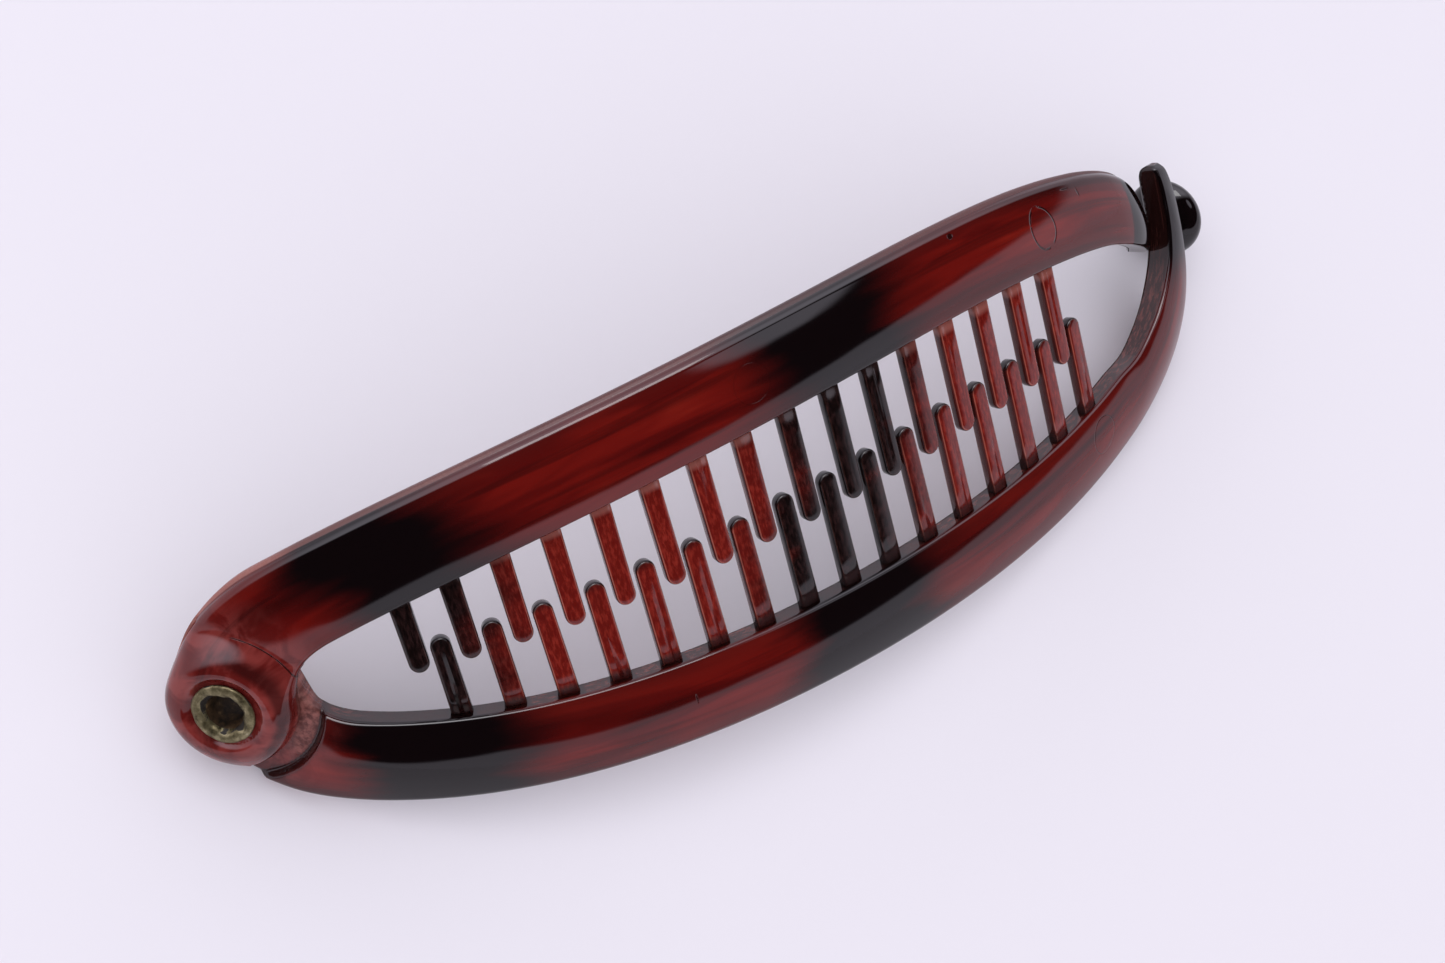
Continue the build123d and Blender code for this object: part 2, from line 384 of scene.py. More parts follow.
def cut_cylinder(ob, radius, low, high):
    """A round hole along the rivet axis, cut with an exact boolean and applied."""
    n = 96
    pts = []
    for w in (low, high):
        for i in range(n):
            a = 2 * math.pi * i / n
            pts.append(hinge_place(radius * math.cos(a), radius * math.sin(a), w))
    faces = [tuple(range(n - 1, -1, -1)), tuple(range(n, 2 * n))]
    for i in range(n):
        faces.append((i, (i + 1) % n, n + (i + 1) % n, n + i))
    me = bpy.data.meshes.new("cutter")
    me.from_pydata([tuple(p) for p in pts], [], faces)
    cutter = bpy.data.objects.new("cutter", me)
    bpy.context.scene.collection.objects.link(cutter)
    mod = ob.modifiers.new("hole", "BOOLEAN")
    mod.operation = "DIFFERENCE"
    mod.solver = "EXACT"
    mod.object = cutter
    bpy.context.view_layer.update()
    dg = bpy.context.evaluated_depsgraph_get()
    new = bpy.data.meshes.new_from_object(ob.evaluated_get(dg))
    ob.modifiers.clear()
    old = ob.data
    ob.data = new
    bpy.data.meshes.remove(old)
    bpy.data.objects.remove(cutter)
    bpy.data.meshes.remove(me)


# ---------------------------------------------------------------- teeth
TOOTH_W, TOOTH_T = 1.96, 1.2


def tooth_outline(inset):
    """Outline of a tooth in its own plan: x across, y from the tip (0) to the root (1 = length)."""
    half = TOOTH_W / 2 - inset
    pts = []
    for i in range(25):
        a = math.pi * i / 24
        pts.append((half * math.cos(a), -half * math.sin(a), 0.0))
    for v in (0.15, 0.4, 0.7, 1.0):
        pts.append((-half, 0.0, v))
    for v in (1.0, 0.7, 0.4, 0.15):
        pts.append((half, 0.0, v))
    return pts


def build_teeth(name, side):
    """A row of sixteen crowned teeth, each a stack of outlines from its underside to its top."""
    faces, clip, zone = [], [], []
    levels = ((-TOOTH_T, 0.28), (-TOOTH_T + 0.06, 0.11), (-TOOTH_T + 0.2, 0.02), (-0.44, 0.0),
              (-0.3, 0.01), (-0.19, 0.05), (-0.11, 0.12), (-0.06, 0.22), (-0.03, 0.36),
              (-0.01, 0.55), (0.0, 0.75))
    for i in range(TEETH):
        s = (i - (TEETH - 1) / 2) * TOOTH_PITCH - side * TOOTH_STAGGER + random.uniform(-0.05, 0.05)
        level = -0.8 + 0.6 * s / 60.0
        root = float(inner_edge(s)) + 0.8
        tip = -float(poly(TIP_LINE, s)) + random.uniform(-0.04, 0.1)
        lean = random.uniform(-0.008, 0.008)
        base = len(clip)
        n = len(tooth_outline(0.0))
        for h, inset in levels:
            for x, dy, v in tooth_outline(inset):
                y = tip + TOOTH_W / 2 + dy + v * (root - tip - TOOTH_W / 2)
                x = x * (1.0 + 0.05 * v) + lean * (root - y)
                clip.append((s + x, side * y, level + h))
                cap = 0.0 if side > 0 else float(smooth(1.0, 0.35, y - tip))
                zone.append((v, float(smooth(-0.05, -0.26, h)), cap * (1.0 if h < -0.06 else 0.5)))
        faces += grid_faces(len(levels), n, base)
        faces.append(tuple(range(base, base + n)))
        faces.append(tuple(range(base + (len(levels) - 1) * n, base + len(levels) * n)))
    c = np.array(clip)
    return make_object(name, place(c[:, 0], c[:, 1], c[:, 2]), faces, c, zone)


# ---------------------------------------------------------------- eyelet
def build_eyelet(name):
    """Lathed tube with a rolled, crimped rim at the top and a plain flange below."""
    flange = [(1.66, -4.2), (1.72, -4.33), (1.9, -4.4), (2.7, -4.4), (2.98, -4.28), (3.03, -4.1),
              (2.98, -3.93), (2.7, -3.9)]
    tube = [(2.0, -3.9), (2.0, -3.0), (2.0, 1.0), (2.0, 1.45)]
    rim = [(2.6, 1.45), (2.95, 1.5), (3.04, 1.62), (3.02, 1.76), (2.9, 1.86), (2.7, 1.92),
           (2.45, 1.94), (2.25, 1.91), (2.1, 1.84), (1.98, 1.72), (1.88, 1.55)]
    inside = [(1.8, 1.3), (1.72, 0.8), (1.67, 0.2), (1.66, -1.0), (1.66, -2.6)]
    prof = flange + tube + rim + inside
    n = 180
    verts, clip, zone = [], [], []
    for i, (r, w) in enumerate(prof):
        # darkness for the brass: painted shade growing deeper into the bore and in the seams and crimp
        # notches; the material adds dirt to it
        bore = float(smooth(1.75, 0.9, w)) if r < 1.9 else 0.0
        seam = 0.5 if w > 1.2 and (r > 2.98 or r < 2.05) else (0.75 if w < 1.5 and r >= 2.0 else 0.0)
        for j in range(n):
            a = 2 * math.pi * j / n
            dent_a = max(0.0, math.cos(a - 2.2))
            dent_b = max(0.0, math.cos(a - 5.5))
            wob = 0.0
            if w > 1.2:
                wob = 0.035 * math.sin(3 * a + 0.7) + 0.03 * math.sin(7 * a + 2.0)
                wob += 0.02 * math.sin(13 * a + i)
            rr, ww = r, w
            if w > 1.5 and r < 2.4:
                rr = r + wob * 2.0 + 0.16 * dent_a ** 18 + 0.2 * dent_b ** 22
                ww = w - 0.12 * dent_a ** 18 - 0.14 * dent_b ** 22
            elif w > 1.5:
                rr = min(r + wob * 0.5, 3.045)
                ww = min(w + wob * 0.4, 1.945)
            verts.append(hinge_place(rr * math.cos(a), rr * math.sin(a), ww))
            clip.append((HINGE_S + rr * math.cos(a), rr * math.sin(a), ww))
            notch = 0.35 * dent_a ** 12 + 0.35 * dent_b ** 12 if r < 2.5 else 0.0
            zone.append((min(1.0, max(bore, seam) + notch), 0.0, 0.0))
    rows = len(prof)
    faces = grid_faces(rows, n)
    for j in range(n):
        k = (j + 1) % n
        faces.append(((rows - 1) * n + j, (rows - 1) * n + k, k, j))
    return make_object(name, verts, faces, np.array(clip), zone)


# ---------------------------------------------------------------- materials
def mat_nodes(name):
    m = bpy.data.materials.new(name)
    m.use_nodes = True
    nt = m.node_tree
    nt.nodes.clear()
    return m, nt


class G:
    """Small helper to write node graphs in a line each."""

    def __init__(self, nt):
        self.nt = nt

    def node(self, kind, **props):
        n = self.nt.nodes.new(kind)
        for k, v in props.items():
            setattr(n, k, v)
        return n

    def put(self, sock, v):
        if isinstance(v, bpy.types.NodeSocket):
            self.nt.links.new(v, sock)
        else:
            sock.default_value = v

    def math(self, op, a, b=0.0, c=0.0):
        n = self.node("ShaderNodeMath", operation=op)
        self.put(n.inputs[0], a)
        self.put(n.inputs[1], b)
        self.put(n.inputs[2], c)
        return n.outputs[0]

    def noise(self, vec, scale, detail=3.0, rough=0.55, dist=0.0):
        n = self.node("ShaderNodeTexNoise")
        self.put(n.inputs["Vector"], vec)
        n.inputs["Scale"].default_value = scale
        n.inputs["Detail"].default_value = detail
        n.inputs["Roughness"].default_value = rough
        n.inputs["Distortion"].default_value = dist
        return n.outputs["Fac"]

    def mapping(self, vec, scale, loc):
        n = self.node("ShaderNodeMapping")
        self.put(n.inputs["Vector"], vec)
        n.inputs["Location"].default_value = loc
        n.inputs["Scale"].default_value = scale
        return n.outputs[0]

    def ramp(self, fac, stops):
        n = self.node("ShaderNodeValToRGB")
        n.color_ramp.interpolation = "EASE"
        el = n.color_ramp.elements
        while len(el) > 1:
            el.remove(el[-1])
        el[0].position, el[0].color = stops[0][0], (*stops[0][1], 1)
        for p, col in stops[1:]:
            e = el.new(p)
            e.color = (*col, 1)
        self.put(n.inputs[0], fac)
        return n.outputs[0]

    def mix(self, fac, a, b):
        n = self.node("ShaderNodeMix", data_type="RGBA")
        self.put(n.inputs[0], fac)
        self.put(n.inputs[6], a)
        self.put(n.inputs[7], b)
        return n.outputs[2]

    def smooth(self, x, a, b):
        n = self.node("ShaderNodeMapRange", interpolation_type="SMOOTHSTEP")
        self.put(n.inputs[0], x)
        n.inputs[1].default_value = a
        n.inputs[2].default_value = b
        n.inputs[3].default_value = 0.0
        n.inputs[4].default_value = 1.0
        return n.outputs[0]


def clip_coords(g):
    """Clip coordinates in mm from the UV layer: (vector, s, y)."""
    uv = g.node("ShaderNodeUVMap", uv_map="clip")
    v = g.node("ShaderNodeVectorMath", operation="MULTIPLY_ADD")
    g.put(v.inputs[0], uv.outputs[0])
    v.inputs[1].default_value = (100, 100, 0)
    v.inputs[2].default_value = (-100, -100, 0)
    sep = g.node("ShaderNodeSeparateXYZ")
    g.put(sep.inputs[0], v.outputs[0])
    return v.outputs[0], sep.outputs[0], sep.outputs[1]


def band(g, x, a, b, c, d):
    """1 between b and c, falling softly to 0 at a and d."""
    return g.math("MULTIPLY", g.smooth(x, a, b), g.math("SUBTRACT", 1.0, g.smooth(x, c, d)))


def ring_mark(g, x, y, centre, radii, width):
    """A thin outline of an ellipse, like an ejector pin's; a solid spot where the width is 0."""
    u = g.math("DIVIDE", g.math("SUBTRACT", x, centre[0]), radii[0])
    v = g.math("DIVIDE", g.math("SUBTRACT", y, centre[1]), radii[1])
    d = g.math("SQRT", g.math("ADD", g.math("MULTIPLY", u, u), g.math("MULTIPLY", v, v)))
    if width == 0:
        return g.math("SUBTRACT", 1.0, g.smooth(d, 0.6, 1.0))
    d = g.math("ABSOLUTE", g.math("SUBTRACT", d, 1.0))
    return g.math("SUBTRACT", 1.0, g.smooth(d, width * 0.3, width))


def tortoiseshell(name, bands, marks=(), seed=0.0, teeth=False, lower=False):
    """Moulded plastic, red with black clouds drawn out along the arm."""
    m, nt = mat_nodes(name)
    g = G(nt)
    flat, s, y = clip_coords(g)
    attr = g.node("ShaderNodeAttribute", attribute_name="zone")
    sep = g.node("ShaderNodeSeparateColor")
    g.put(sep.inputs[0], attr.outputs["Color"])
    face, wall, ledge = sep.outputs[0], sep.outputs[1], sep.outputs[2]
    height_mm = g.math("MULTIPLY_ADD", attr.outputs["Alpha"], 10.0, -10.0)
    comb = g.node("ShaderNodeCombineXYZ")
    g.put(comb.inputs[0], s)
    g.put(comb.inputs[1], y if teeth else g.math("MULTIPLY", face, FACE_W))
    g.put(comb.inputs[2], height_mm)
    vec = comb.outputs[0]
    out = g.node("ShaderNodeOutputMaterial")
    b = g.node("ShaderNodeBsdfPrincipled")
    nt.links.new(b.outputs[0], out.inputs[0])
    from_hinge = g.math("POWER", g.math("SUBTRACT", s, HINGE_S), 2.0)
    radius = g.math("SQRT", g.math("ADD", from_hinge, g.math("POWER", y, 2.0)))

    # soft wavering of the cloud edges, stretched along the arm
    slow = g.noise(g.mapping(vec, (0.07, 0.2, 0.1), (seed, seed * 0.3, 0)), 1.0, 1.5, 0.45, 0.2)
    wob = g.math("SUBTRACT", slow, 0.5)
    quick = g.noise(g.mapping(vec, (0.07, 0.75, 0.3), (seed * 2, 3.1, 0)), 1.0, 2.0, 0.5, 0.3)
    fine = g.math("SUBTRACT", quick, 0.5)
    s2 = g.math("MULTIPLY_ADD", wob, 9.0, s)
    s2 = g.math("MULTIPLY_ADD", fine, 5.0, s2)
    dark = None
    for a0, a1, a2, a3, slant in bands:
        x = s2 if teeth else g.math("MULTIPLY_ADD", g.math("SUBTRACT", face, 0.5), slant, s2)
        one = band(g, x, a0, a1, a2, a3)
        dark = one if dark is None else g.math("MAXIMUM", dark, one)

    # long thin flow lines
    if not teeth:
        flow = g.noise(g.mapping(vec, (0.016, 0.62, 0.2), (seed + 5.0, 1.7, 0)), 1.0, 3.0, 0.55, 0.35)
        dark = g.math("MAXIMUM", dark, g.math("MULTIPLY", g.smooth(flow, 0.5, 0.68), 0.5))
        if lower:
            latch_end = g.math("MULTIPLY", g.smooth(y, -4.0, 1.0), g.smooth(s, 50.0, 54.0))
            dark = g.math("MAXIMUM", dark, latch_end)
        else:
            dark = g.math("MAXIMUM", dark, g.smooth(g.math("MULTIPLY_ADD", face, -0.8, s), 50.4, 50.9))
            arc = band(g, g.math("MULTIPLY_ADD", wob, 1.6, radius), 4.5, 5.2, 5.5, 6.5)
            arc = g.math("MULTIPLY", g.math("MULTIPLY", arc, g.smooth(s, -57.5, -53.0)), 0.62)
            dark = g.math("MAXIMUM", dark, arc)
    tone = g.noise(g.mapping(vec, (0.04, 0.28, 0.2), (seed + 9.0, 0, 0)), 1.0, 3.0, 0.55, 0.4)
    red = g.ramp(tone, [
        (0.3, (0.035, 0.0018, 0.0016)),
        (0.47, (0.072, 0.0026, 0.0022)),
        (0.6, (0.118, 0.0045, 0.003)),
        (0.78, (0.19, 0.011, 0.006)),
    ])
    if not teeth:
        # the colour is darker near the rims of the face
        rim = g.math("SUBTRACT", 1.0, band(g, face, -0.02, 0.34, 0.76, 1.02))
        red = g.mix(g.math("MULTIPLY", rim, 0.55), red, (0.06, 0.0055, 0.0045, 1))
        boss = g.math("SUBTRACT", 1.0, g.smooth(radius, 6.0, 12.0))
        mist = g.noise(g.mapping(flat, (0.35, 0.35, 1.0), (seed + 2.0, 0, 0)), 1.0, 3.0, 0.6, 0.6)
        cloud = g.smooth(mist, 0.4, 0.62)
        skin = g.mix(cloud, (0.095, 0.008, 0.007, 1), (0.2, 0.032, 0.029, 1))
        red = g.mix(g.math("MULTIPLY", boss, 0.85), red, skin)
    col = g.mix(dark, red, (0.003, 0.0012, 0.0016, 1))
    grain = g.noise(vec, 9.0, 4.0, 0.7)
    stretch = (1.0, 0.3, 1.0) if teeth else (0.3, 1.0, 1.0)
    speck = g.noise(g.mapping(vec, stretch, (seed, 7, 0)), 3.6, 3.0, 0.6)
    light = g.math("SUBTRACT", 1.0, g.math("MULTIPLY", dark, 0.9))
    if teeth:
        base = g.mix(dark, (0.105, 0.0048, 0.0032, 1), (0.004, 0.0015, 0.0015, 1))
        milk = g.mix(dark, (0.2, 0.0145, 0.0085, 1), (0.02, 0.007, 0.007, 1))
        col = g.mix(g.smooth(speck, 0.4, 0.72), base, milk)
        # painted light on the tooth sides: darker as painted shade, and paler pink low down as a painted
        # glow of light through the plastic
        under = g.smooth(height_mm, -1.25, -2.0)
        side = g.mix(dark, (0.04, 0.007, 0.006, 1), (0.004, 0.002, 0.002, 1))
        lower_side_glow = g.mix(dark, (0.3, 0.12, 0.105, 1), (0.03, 0.016, 0.018, 1))
        side = g.mix(g.math("MULTIPLY", under, 0.8), side, lower_side_glow)
        col = g.mix(g.math("MULTIPLY", g.smooth(wall, 0.35, 0.8), 0.92), col, side)
        # a painted highlight along the top edge of each tooth, away from the black clouds
        edge_highlight = g.math("MULTIPLY", band(g, wall, 0.02, 0.12, 0.25, 0.42), light)
        col = g.mix(g.math("MULTIPLY", edge_highlight, 0.45), col, (0.42, 0.14, 0.1, 1))
        # at the root of each tooth: painted shade in the crease on the lower teeth, a painted highlight on
        # the upper teeth
        root = g.math("MULTIPLY", g.smooth(face, 0.8, 0.87), 0.75)
        if lower:
            root_shade_and_highlight = (0.02, 0.006, 0.006, 1)
        else:
            root_shade_and_highlight = g.mix(dark, (0.3, 0.1, 0.085, 1), (0.02, 0.009, 0.009, 1))
        col = g.mix(root, col, root_shade_and_highlight)
        col = g.mix(g.math("MULTIPLY", ledge, 0.9), col, (0.004, 0.0025, 0.003, 1))
    else:
        # the side walls are left matt by the mould; their paler colour than the polished face is a painted
        # sheen of scattered light, fading away from the hinge, with painted glints on the grain
        away = g.smooth(s, -46.0, -22.0)
        pale = g.mix(away, (0.3, 0.105, 0.09, 1), (0.075, 0.013, 0.011, 1))
        pale = g.mix(g.math("MULTIPLY", dark, 0.62), pale, (0.035, 0.012, 0.012, 1))
        glint = g.math("MULTIPLY", light, g.math("MULTIPLY_ADD", away, -0.38, 0.5))
        pale = g.mix(g.smooth(grain, 0.42, 0.72), pale, g.mix(glint, pale, (0.42, 0.2, 0.17, 1)))
        col = g.mix(g.math("MULTIPLY", g.smooth(wall, 0.05, 0.3), 0.85), col, pale)
        foot = g.math("MULTIPLY", g.smooth(wall, 0.86, 0.95), 0.8)
        col = g.mix(foot, col, (0.012, 0.005, 0.005, 1))
        low = g.mix(g.smooth(speck, 0.45, 0.66), (0.03, 0.007, 0.006, 1), (0.15, 0.04, 0.034, 1))
        low = g.mix(g.math("MULTIPLY", dark, 0.8), low, (0.01, 0.004, 0.004, 1))
        start = 86.36 if lower else 88.64
        phase = g.math("SUBTRACT", g.math("FRACT", g.math("DIVIDE", g.math("ADD", s, start), 5.0)), 0.5)
        toothed = band(g, s, -40.5, -39.5, 40.5, 41.5)
        # painted shade on the inner wall around the root of each tooth
        tooth_root_shade = g.math("MULTIPLY", g.smooth(g.math("ABSOLUTE", phase), 0.2, 0.27), toothed)
        low = g.mix(g.math("MULTIPLY", tooth_root_shade, 0.9), low, (0.004, 0.0015, 0.0015, 1))
        col = g.mix(g.math("MULTIPLY", ledge, 0.9), col, low)
        if lower:
            # torn, unpolished floor of the lap recess
            near_hinge = g.math("SUBTRACT", 1.0, g.smooth(radius, 7.7, 8.5))
            pit = g.math("MULTIPLY", near_hinge, g.smooth(s, -54.0, -51.5))
            patches = g.smooth(g.noise(flat, 1.5, 3.0, 0.6), 0.36, 0.66)
            torn = g.mix(patches, (0.1, 0.022, 0.019, 1), (0.3, 0.1, 0.088, 1))
            col = g.mix(g.math("MULTIPLY", pit, 0.85), col, torn)
            # painted shade in the crevice around the shoulder of the lap recess
            crevice_shade = band(g, g.math("MULTIPLY_ADD", grain, 0.9, radius), 8.35, 8.6, 8.9, 9.5)
            crevice_shade = g.math("MULTIPLY", crevice_shade, g.math("MULTIPLY", g.smooth(y, 1.5, -3.5), 0.9))
            col = g.mix(crevice_shade, col, (0.01, 0.003, 0.003, 1))

    line = None
    for kind, centre, radii, width, strength in marks:
        along, over = (s, y) if kind == "plan" else (s, g.math("MULTIPLY", face, FACE_W))
        one = g.math("MULTIPLY", ring_mark(g, along, over, centre, radii, width), strength)
        if kind == "plan":
            one = g.math("MULTIPLY", one, g.smooth(s, -54.5, -53.0))
        line = one if line is None else g.math("MAXIMUM", line, one)
    if line is not None:
        line = g.math("MULTIPLY", line, g.math("SUBTRACT", 1.0, g.smooth(wall, 0.0, 0.1)))
        line = g.math("MULTIPLY", line, g.smooth(g.noise(flat, 0.9, 2.0, 0.5), 0.3, 0.42))
        col = g.mix(g.math("MULTIPLY", line, 0.85), col, (0.005, 0.0015, 0.0015, 1))
    g.put(b.inputs["Base Color"], col)

    matt = g.smooth(wall, 0.08, 0.25)
    if teeth:
        rough = g.math("MULTIPLY_ADD", speck, 0.14, 0.06)
    else:
        if lower:
            matt = g.math("MAXIMUM", matt, pit)
        rough = g.math("MULTIPLY_ADD", g.smooth(grain, 0.3, 0.9), 0.05, 0.055)
        rough = g.math("MULTIPLY_ADD", matt, 0.36, rough)
        rough = g.math("MULTIPLY_ADD", ledge, -0.2, rough)
    g.put(b.inputs["Roughness"], rough)
    b.inputs["IOR"].default_value = 1.5

    height = g.math("MULTIPLY", g.noise(g.mapping(vec, (0.1, 0.26, 0.2), (seed, 1, 0)), 1.0, 2.0, 0.5), 0.35)
    height = g.math("MULTIPLY_ADD", grain, 0.07 if teeth else 0.008, height)
    if not teeth:
        height = g.math("MULTIPLY_ADD", g.math("MULTIPLY", grain, matt), 0.3, height)
        if lower:
            height = g.math("MULTIPLY_ADD", g.math("MULTIPLY", speck, pit), 1.6, height)
    if line is not None:
        height = g.math("MULTIPLY_ADD", line, -0.35, height)
    bump = g.node("ShaderNodeBump")
    bump.inputs["Strength"].default_value = 0.6
    bump.inputs["Distance"].default_value = 0.00012
    g.put(bump.inputs["Height"], height)
    nt.links.new(bump.outputs[0], b.inputs["Normal"])
    return m


def brass(name):
    """Dull, dirty brass: dark in the bore, the seams and the notches, from dirt and painted shade."""
    m, nt = mat_nodes(name)
    g = G(nt)
    attr = g.node("ShaderNodeAttribute", attribute_name="zone")
    sep = g.node("ShaderNodeSeparateColor")
    g.put(sep.inputs[0], attr.outputs["Color"])
    vec = g.node("ShaderNodeTexCoord").outputs["Object"]
    out = g.node("ShaderNodeOutputMaterial")
    b = g.node("ShaderNodeBsdfPrincipled")
    nt.links.new(b.outputs[0], out.inputs[0])
    n1 = g.noise(vec, 1100.0, 5.0, 0.65)
    n2 = g.noise(vec, 3500.0, 4.0, 0.6)
    col = g.ramp(n1, [
        (0.3, (0.05, 0.04, 0.018)),
        (0.46, (0.16, 0.135, 0.07)),
        (0.6, (0.28, 0.24, 0.135)),
        (0.75, (0.45, 0.4, 0.27)),
    ])
    dirt_and_shade = g.math("MULTIPLY_ADD", g.math("SUBTRACT", n1, 0.5), 1.6, sep.outputs[0])
    dirt_and_shade = g.smooth(dirt_and_shade, 0.45, 0.62)
    col = g.mix(dirt_and_shade, col, (0.014, 0.009, 0.005, 1))
    g.put(b.inputs["Base Color"], col)
    g.put(b.inputs["Metallic"], g.math("MULTIPLY_ADD", dirt_and_shade, -0.7, 0.8))
    g.put(b.inputs["Roughness"], g.math("MULTIPLY_ADD", dirt_and_shade, 0.25, g.math("MULTIPLY_ADD", n2, 0.35, 0.25)))
    bump = g.node("ShaderNodeBump")
    bump.inputs["Strength"].default_value = 0.5
    bump.inputs["Distance"].default_value = 0.00008
    g.put(bump.inputs["Height"], g.math("ADD", n1, g.math("MULTIPLY", n2, 0.4)))
    nt.links.new(bump.outputs[0], b.inputs["Normal"])
    return m


def bore_tarnish_and_shade(name):
    """The inside of the eyelet: tarnished brown, darkened with painted shade."""
    m, nt = mat_nodes(name)
    g = G(nt)
    out = g.node("ShaderNodeOutputMaterial")
    b = g.node("ShaderNodeBsdfPrincipled")
    nt.links.new(b.outputs[0], out.inputs[0])
    n = g.noise(g.node("ShaderNodeTexCoord").outputs["Object"], 900.0, 4.0, 0.65)
    tarnish_with_shade = g.ramp(n, [
        (0.35, (0.012, 0.007, 0.004)),
        (0.55, (0.05, 0.028, 0.014)),
        (0.75, (0.16, 0.1, 0.05)),
    ])
    g.put(b.inputs["Base Color"], tarnish_with_shade)
    g.put(b.inputs["Roughness"], g.math("MULTIPLY_ADD", n, 0.3, 0.45))
    b.inputs["Specular IOR Level"].default_value = 0.15
    return m


def floor_material():
    """A plain pale table top."""
    m, nt = mat_nodes("floor")
    g = G(nt)
    out = g.node("ShaderNodeOutputMaterial")
    b = g.node("ShaderNodeBsdfPrincipled")
    nt.links.new(b.outputs[0], out.inputs[0])
    n = g.noise(g.node("ShaderNodeTexCoord").outputs["Object"], 6.0, 2.0, 0.5)
    g.put(b.inputs["Base Color"], g.ramp(n, [(0.3, (0.725, 0.697, 0.788)), (0.7, (0.74, 0.71, 0.80))]))
    b.inputs["Roughness"].default_value = 0.6
    return m


# ---------------------------------------------------------------- build
upper = build_arm("upper_half_moulding", False)
cut_cylinder(upper, HOLE_R, -8, 8)
lower = build_arm("lower_half_moulding", True)
cut_cylinder(lower, HOLE_R, -8, 8)
teeth_u = build_teeth("upper_comb_teeth", 1)
teeth_l = build_teeth("lower_comb_teeth", -1)
eyelet = build_eyelet("hinge_eyelet_tube")

# black clouds: where each starts, is full, stays full to and ends along the clip, and its slant
BANDS_U = ((-49.0, -42.0, -35.0, -24.0, 6.0), (-7.0, 3.5, 11.0, 21.0, 3.0))
BANDS_L = ((-51.0, -44.0, -36.0, -26.0, 0.0), (-9.0, -1.0, 8.0, 18.0, 0.0))
# moulding marks: where they are measured, centre, radii, line width (0 for a spot), strength
MARKS_U = (
    ("face", (36.3, 4.6), (1.75, 2.3), 0.08, 1.0),
    ("face", (-2.0, 4.4), (1.9, 1.9), 0.06, 0.15),
    ("face", (24.2, 7.75), (0.42, 0.34), 0, 1.0),
    ("face", (41.5, 7.7), (0.7, 0.12), 0, 0.8),
    ("face", (43.2, 7.1), (0.16, 0.6), 0, 0.7),
    ("plan", (HINGE_S, 0.0), (7.15, 7.15), 0.013, 1.0),
)
MARKS_L = (
    ("face", (39.0, 3.3), (1.8, 2.0), 0.05, 0.5),
    ("face", (-15.5, 3.7), (0.12, 0.6), 0, 0.6),
)
mat_u = tortoiseshell("tortoiseshell_upper", BANDS_U, MARKS_U, seed=0.0)
mat_l = tortoiseshell("tortoiseshell_lower", BANDS_L, MARKS_L, seed=3.3, lower=True)
mat_tu = tortoiseshell("tortoiseshell_upper_teeth", BANDS_U, seed=0.0, teeth=True)
mat_tl = tortoiseshell("tortoiseshell_lower_teeth", BANDS_L, seed=3.3, teeth=True, lower=True)
mat_b = brass("aged_brass")
for ob, mat in ((upper, mat_u), (teeth_u, mat_tu), (lower, mat_l), (teeth_l, mat_tl), (eyelet, mat_b)):
    ob.data.materials.clear()
    ob.data.materials.append(mat)

# the faces inside the bore take the tarnished material darkened with painted shade
eyelet.data.materials.append(bore_tarnish_and_shade("bore_tarnish_and_shade"))
rivet_axis = Vector(hinge_place(0, 0, 1) - hinge_place(0, 0, 0)).normalized()
rivet_base = Vector(hinge_place(0, 0, 0))
for face in eyelet.data.polygons:
    off = Vector(face.center) - rivet_base
    along = off.dot(rivet_axis)
    if (off - rivet_axis * along).length < 1.86 * MM and along < 1.35 * MM:
        face.material_index = 1

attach(upper, "upper_half")
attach(teeth_u, "upper_half")
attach(lower, "lower_half")
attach(teeth_l, "lower_half")
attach(eyelet, "lower_half")
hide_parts("upper_arm", "upper_eye", "latch_knob")
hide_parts("upper_teeth")
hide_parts("lower_arm", "lower_eye", "latch_hook")
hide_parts("lower_teeth")
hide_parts("hinge_eyelet")

# ---------------------------------------------------------------- stage
me = bpy.data.meshes.new("floor")
me.from_pydata([(-3, -3, 0), (3, -3, 0), (3, 3, 0), (-3, 3, 0)], [], [(0, 1, 2, 3)])
floor = bpy.data.objects.new("floor", me)
bpy.context.scene.collection.objects.link(floor)
me.materials.append(floor_material())

world = bpy.data.worlds.new("studio")
bpy.context.scene.world = world
world.use_nodes = True
world.node_tree.nodes.clear()
wg = G(world.node_tree)
w_out = wg.node("ShaderNodeOutputWorld")
w_bg = wg.node("ShaderNodeBackground")
w_pale = wg.node("ShaderNodeBackground")
w_mix = wg.node("ShaderNodeMixShader")
w_sep = wg.node("ShaderNodeSeparateXYZ")
wg.put(w_sep.inputs[0], wg.node("ShaderNodeTexCoord").outputs["Generated"])
wx, wy, wz = w_sep.outputs
# reflections see a pale sweep low down, a dark room in front above it, and a bright half behind
sweep = wg.smooth(wg.math("MULTIPLY", wx, -1.0), 0.3, 0.65)
edge = wg.math("MULTIPLY_ADD", sweep, -0.16, 0.235)
low = wg.math("SUBTRACT", 1.0, wg.smooth(wg.math("SUBTRACT", wz, edge), -0.02, 0.03))
upward = wg.math("MULTIPLY_ADD", wg.smooth(wz, 0.1, 0.8), 1.5, 0.9)
behind = wg.math("MULTIPLY", wg.smooth(wy, 0.0, 0.3), upward)
spot = wg.node("ShaderNodeVectorMath", operation="DOT_PRODUCT")
wg.put(spot.inputs[0], wg.node("ShaderNodeTexCoord").outputs["Generated"])
WINDOW_AZIMUTH, WINDOW_ELEVATION = math.radians(-26), math.radians(57)
window_flat = math.cos(WINDOW_ELEVATION)
spot.inputs[1].default_value = (
    window_flat * math.cos(WINDOW_AZIMUTH),
    window_flat * math.sin(WINDOW_AZIMUTH),
    math.sin(WINDOW_ELEVATION),
)
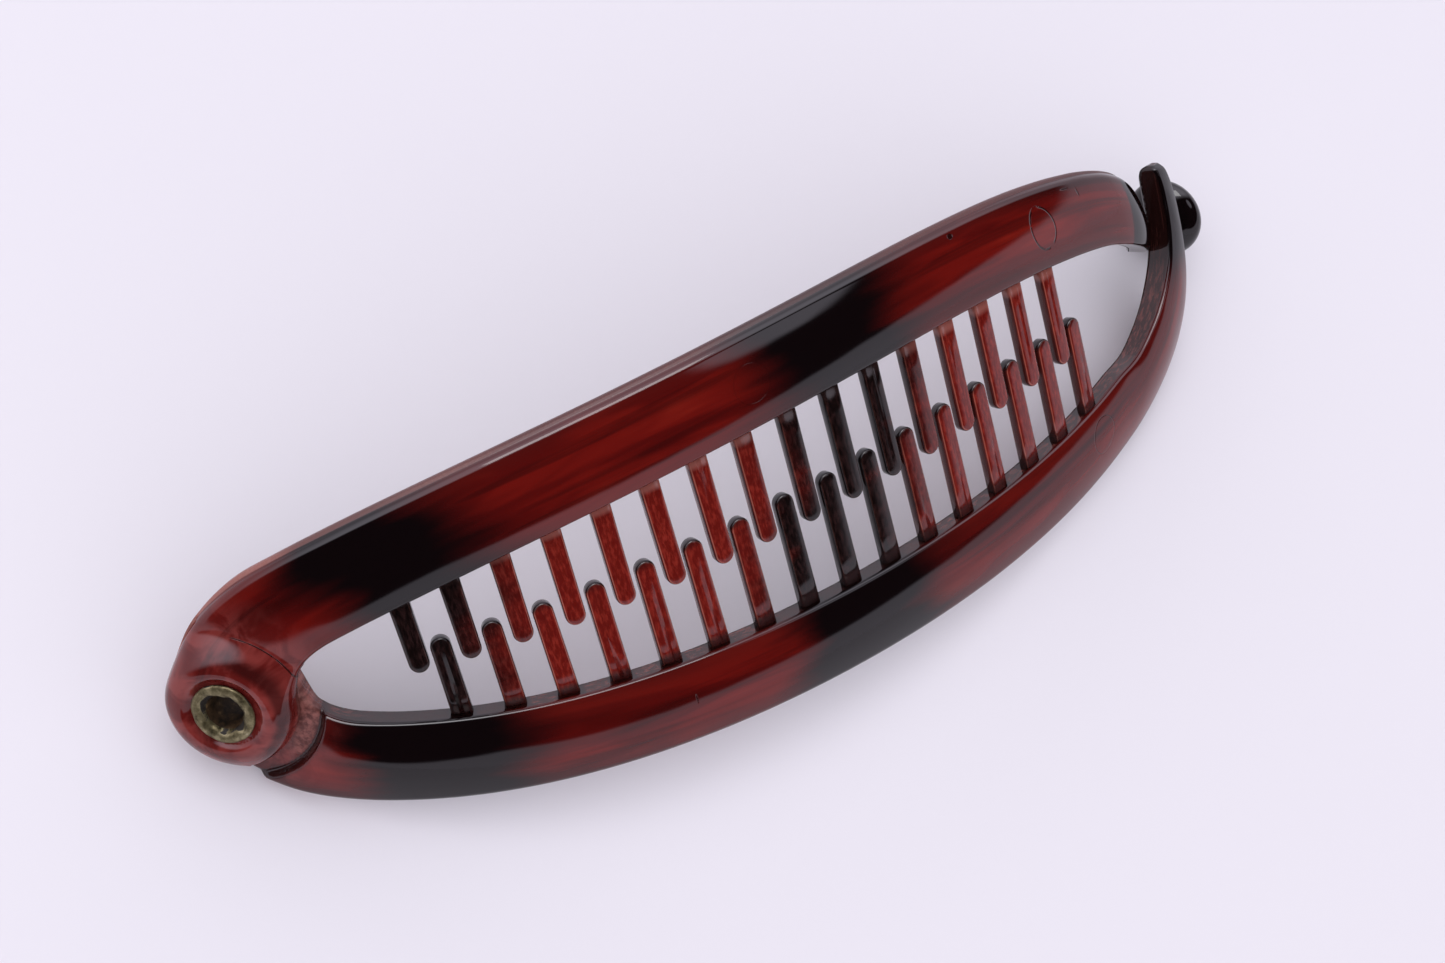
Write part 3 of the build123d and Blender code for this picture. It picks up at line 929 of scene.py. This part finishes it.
window = wg.math("MULTIPLY", wg.smooth(spot.outputs["Value"], 0.974, 0.988), 1.5)
room = wg.math("MAXIMUM", behind, wg.math("MAXIMUM", window, 0.02))
sky = wg.math("MAXIMUM", wg.math("MULTIPLY", low, 0.92), room)
w_bg.inputs[0].default_value = (0.92, 0.87, 1.0, 1)
wg.put(w_bg.inputs[1], sky)
w_pale.inputs[0].default_value = (0.85, 0.82, 0.935, 1)
w_pale.inputs[1].default_value = 1.0
world.cycles.sampling_method = "NONE"
# the soft light that falls on everything is even all round; only reflections see the room
w_fill = wg.node("ShaderNodeBackground")
w_soft = wg.node("ShaderNodeMixShader")
w_path = wg.node("ShaderNodeLightPath")
w_fill.inputs[0].default_value = (1.0, 0.99, 1.0, 1)
w_fill.inputs[1].default_value = 1.17
world.node_tree.links.new(w_path.outputs["Is Diffuse Ray"], w_soft.inputs[0])
world.node_tree.links.new(w_bg.outputs[0], w_soft.inputs[1])
world.node_tree.links.new(w_fill.outputs[0], w_soft.inputs[2])
world.node_tree.links.new(w_path.outputs["Is Camera Ray"], w_mix.inputs[0])
world.node_tree.links.new(w_soft.outputs[0], w_mix.inputs[1])
world.node_tree.links.new(w_pale.outputs[0], w_mix.inputs[2])
world.node_tree.links.new(w_mix.outputs[0], w_out.inputs[0])


def area_light(name, azimuth, elevation, distance, size, radiance, color):
    """A soft rectangular lamp facing the object, set by the radiance it shows."""
    a, e = math.radians(azimuth), math.radians(elevation)
    li = bpy.data.lights.new(name, "AREA")
    li.shape = "RECTANGLE"
    li.size, li.size_y = size
    li.energy = radiance * size[0] * size[1] * math.pi
    li.color = color
    ob = bpy.data.objects.new(name, li)
    bpy.context.scene.collection.objects.link(ob)
    d = Vector((math.cos(a) * math.cos(e), math.sin(a) * math.cos(e), math.sin(e)))
    ob.location = d * distance
    ob.rotation_euler = (-d).to_track_quat("-Z", "Y").to_euler()
    return ob


softbox = area_light("overhead", 80, 66, 2.0, (1.1, 0.8), 5.0, (1.0, 0.985, 0.98))
softbox.visible_diffuse = False

# ---------------------------------------------------------------- camera
# the camera looks steeply down on the clip from the hinge end, rolled about its own line of sight
CAMERA_PLACE = (-0.0891, -0.0422, 0.2218)
CAMERA_AZIMUTH = math.radians(29.14)
CAMERA_ELEVATION = math.radians(-65.46)
CAMERA_ROLL = math.radians(30.76)
FOCAL_IN_WIDTHS = 1.6762
cam_data = bpy.data.cameras.new("camera")
cam_data.sensor_width = 36.0
cam_data.lens = FOCAL_IN_WIDTHS * cam_data.sensor_width
cam_data.clip_start = 0.01
cam = bpy.data.objects.new("camera", cam_data)
bpy.context.scene.collection.objects.link(cam)
flat_look = math.cos(CAMERA_ELEVATION)
look = Vector((
    flat_look * math.cos(CAMERA_AZIMUTH),
    flat_look * math.sin(CAMERA_AZIMUTH),
    math.sin(CAMERA_ELEVATION),
))
cam.location = CAMERA_PLACE
cam.rotation_euler = (look.to_track_quat("-Z", "Y") @ Quaternion((0, 0, 1), CAMERA_ROLL)).to_euler()
bpy.context.scene.camera = cam
bpy.context.scene.view_settings.view_transform = "Standard"
